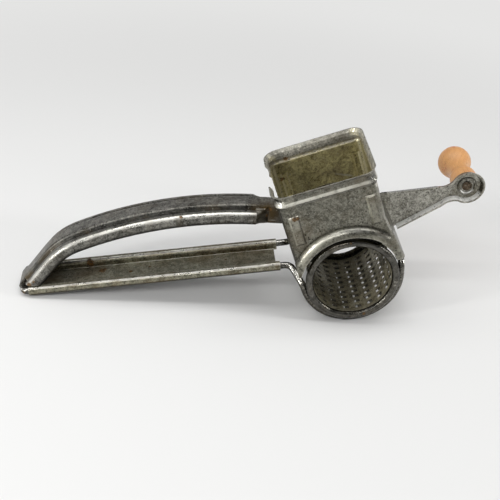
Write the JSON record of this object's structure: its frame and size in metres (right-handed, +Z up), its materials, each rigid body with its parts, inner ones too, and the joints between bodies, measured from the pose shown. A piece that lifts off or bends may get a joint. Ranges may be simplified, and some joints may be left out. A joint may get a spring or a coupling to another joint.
{
  "type": "rotary cabbage shredder",
  "caption": "Hand-cranked rotary shredder: wire frame with half-ring drum bearings, hopper, hinged presser handle with curved foot, perforated drum, crank with wooden knob.",
  "frame": {"origin": "on the table under the drum axis at the middle of the drum's length", "axes": "+Z up, +Y along the drum axis away from its open end, +X from the handles' hinge towards the crank"},
  "size_m": [0.2859, 0.1055, 0.1047],
  "materials": {
    "hopper_tin": "aged tinplate",
    "handle_tin": "aged tinplate",
    "wire_tin": "aged tinned wire",
    "drum_tin": "dark worn tinplate",
    "rim_tin": "dark worn tinplate",
    "crank_tin": "mottled tinplate",
    "rivet_steel": "dull",
    "knob_wood": "worn varnish"
  },
  "bodies": {
    "frame": {"wire_frame": "wire_tin", "lower_handle": "handle_tin", "hopper_front_shell": "hopper_tin", "hopper_back_shell": "hopper_tin"},
    "drum": {"drum_cylinder": "drum_tin", "drum_front_rim": "rim_tin", "drum_back_ring": "rim_tin", "crank_arm": "crank_tin", "crank_rivets": "rivet_steel", "knob_pin": "rivet_steel"},
    "knob": {"crank_knob": "knob_wood"},
    "presser": {"upper_handle": "handle_tin", "presser_foot": "handle_tin", "presser_rivets": "rivet_steel"}
  },
  "joints": [
    {"name": "drum_spin", "type": "hinge", "parent": "frame", "child": "drum", "pos_m": [0, 0, 0.0312], "axis": [0, 1, 0], "continuous": true},
    {"name": "knob_spin", "type": "hinge", "parent": "drum", "child": "knob", "pos_m": [0.07844, 0.05, 0.06498], "axis": [0, 1, 0], "continuous": true},
    {"name": "presser_lift", "type": "hinge", "parent": "frame", "child": "presser", "pos_m": [-0.1936, 0, 0.00288], "axis": [0, -1, 0], "range_deg": [0, 85]}
  ]
}
